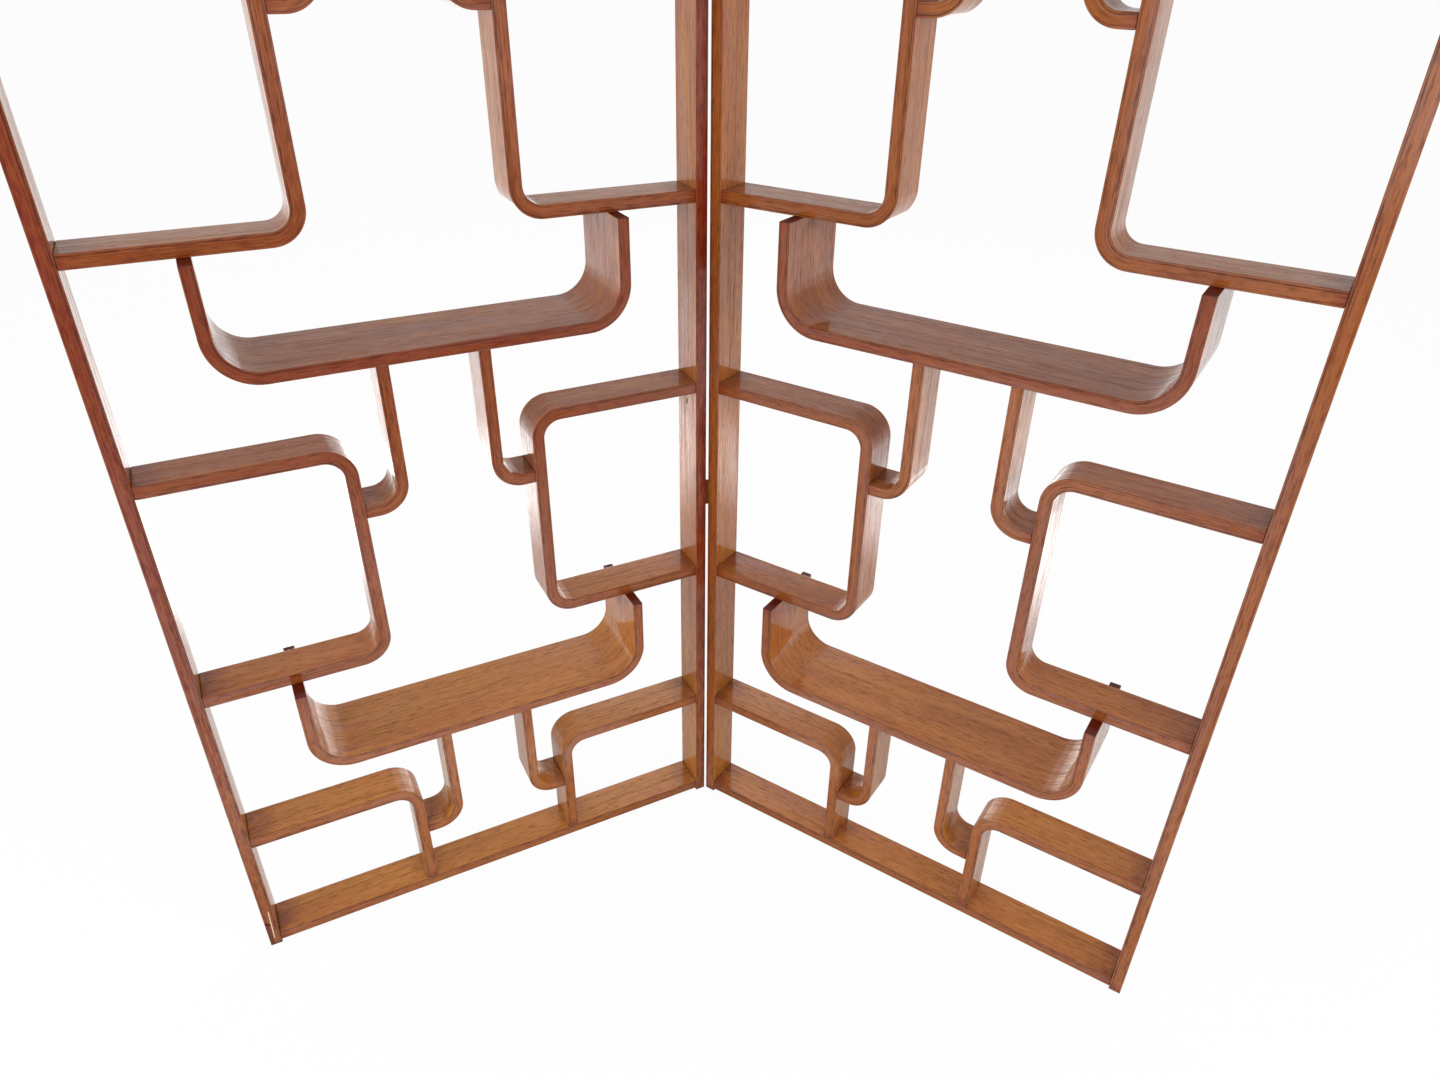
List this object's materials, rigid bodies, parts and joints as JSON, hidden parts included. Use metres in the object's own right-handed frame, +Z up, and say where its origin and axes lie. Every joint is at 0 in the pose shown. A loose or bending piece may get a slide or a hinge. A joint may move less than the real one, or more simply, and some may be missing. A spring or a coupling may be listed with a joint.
{
  "type": "folding room divider",
  "caption": "Openwork folding room divider: tall hinged leaves of bent laminated wood strips, with C-shaped loops, hooks and deep U-shaped display shelves.",
  "frame": {"origin": "on the floor, at the centre of the bounding box", "axes": "+Z up; the V opens towards -Y, with the folding axis on the +Y side; +X to the right when the open side is faced"},
  "size_m": [1.1204, 0.3568, 2.0105],
  "materials": {
    "frame_veneer": "clear gloss lacquer over mahogany-toned veneer",
    "bent_veneer": "clear gloss lacquer over mahogany-toned veneer",
    "shelf_veneer": "clear gloss lacquer over mahogany-toned veneer",
    "tenon_wood": "bare planed hardwood",
    "glide_plastic": "matt dark brown",
    "hinge_brass": "aged, darkened"
  },
  "bodies": {
    "left_panel": {"left_outer_stile": "frame_veneer", "left_inner_stile": "frame_veneer", "left_bottom_rail": "frame_veneer", "left_top_rail": "frame_veneer", "left_shelf_1": "shelf_veneer", "left_shelf_2": "shelf_veneer", "left_shelf_3": "shelf_veneer", "left_shelf_4": "shelf_veneer", "left_outer_foot_arch": "bent_veneer", "left_outer_crown_arch": "bent_veneer", "left_outer_loop_1": "bent_veneer", "left_outer_loop_2": "bent_veneer", "left_outer_loop_3": "bent_veneer", "left_outer_hook_1": "bent_veneer", "left_outer_hook_2": "bent_veneer", "left_outer_hook_3": "bent_veneer", "left_outer_hook_4": "bent_veneer", "left_inner_foot_arch": "bent_veneer", "left_inner_crown_arch": "bent_veneer", "left_inner_loop_1": "bent_veneer", "left_inner_loop_2": "bent_veneer", "left_inner_loop_3": "bent_veneer", "left_inner_hook_1": "bent_veneer", "left_inner_hook_2": "bent_veneer", "left_inner_hook_3": "bent_veneer", "left_inner_hook_4": "bent_veneer", "left_loose_tenons": "tenon_wood", "left_glides": "glide_plastic", "left_hinge_leaves": "hinge_brass", "hinge_pins": "hinge_brass"},
    "right_panel": {"right_outer_stile": "frame_veneer", "right_inner_stile": "frame_veneer", "right_bottom_rail": "frame_veneer", "right_top_rail": "frame_veneer", "right_shelf_1": "shelf_veneer", "right_shelf_2": "shelf_veneer", "right_shelf_3": "shelf_veneer", "right_shelf_4": "shelf_veneer", "right_outer_foot_arch": "bent_veneer", "right_outer_crown_arch": "bent_veneer", "right_outer_loop_1": "bent_veneer", "right_outer_loop_2": "bent_veneer", "right_outer_loop_3": "bent_veneer", "right_outer_hook_1": "bent_veneer", "right_outer_hook_2": "bent_veneer", "right_outer_hook_3": "bent_veneer", "right_outer_hook_4": "bent_veneer", "right_inner_foot_arch": "bent_veneer", "right_inner_crown_arch": "bent_veneer", "right_inner_loop_1": "bent_veneer", "right_inner_loop_2": "bent_veneer", "right_inner_loop_3": "bent_veneer", "right_inner_hook_1": "bent_veneer", "right_inner_hook_2": "bent_veneer", "right_inner_hook_3": "bent_veneer", "right_inner_hook_4": "bent_veneer", "right_loose_tenons": "tenon_wood", "right_glides": "glide_plastic", "right_hinge_leaves": "hinge_brass"}
  },
  "joints": [
    {"name": "fold", "type": "hinge", "parent": "left_panel", "child": "right_panel", "pos_m": [0, 0.13689, 1.00525], "axis": [0, 0, 1], "range_deg": [-88, 61]}
  ]
}
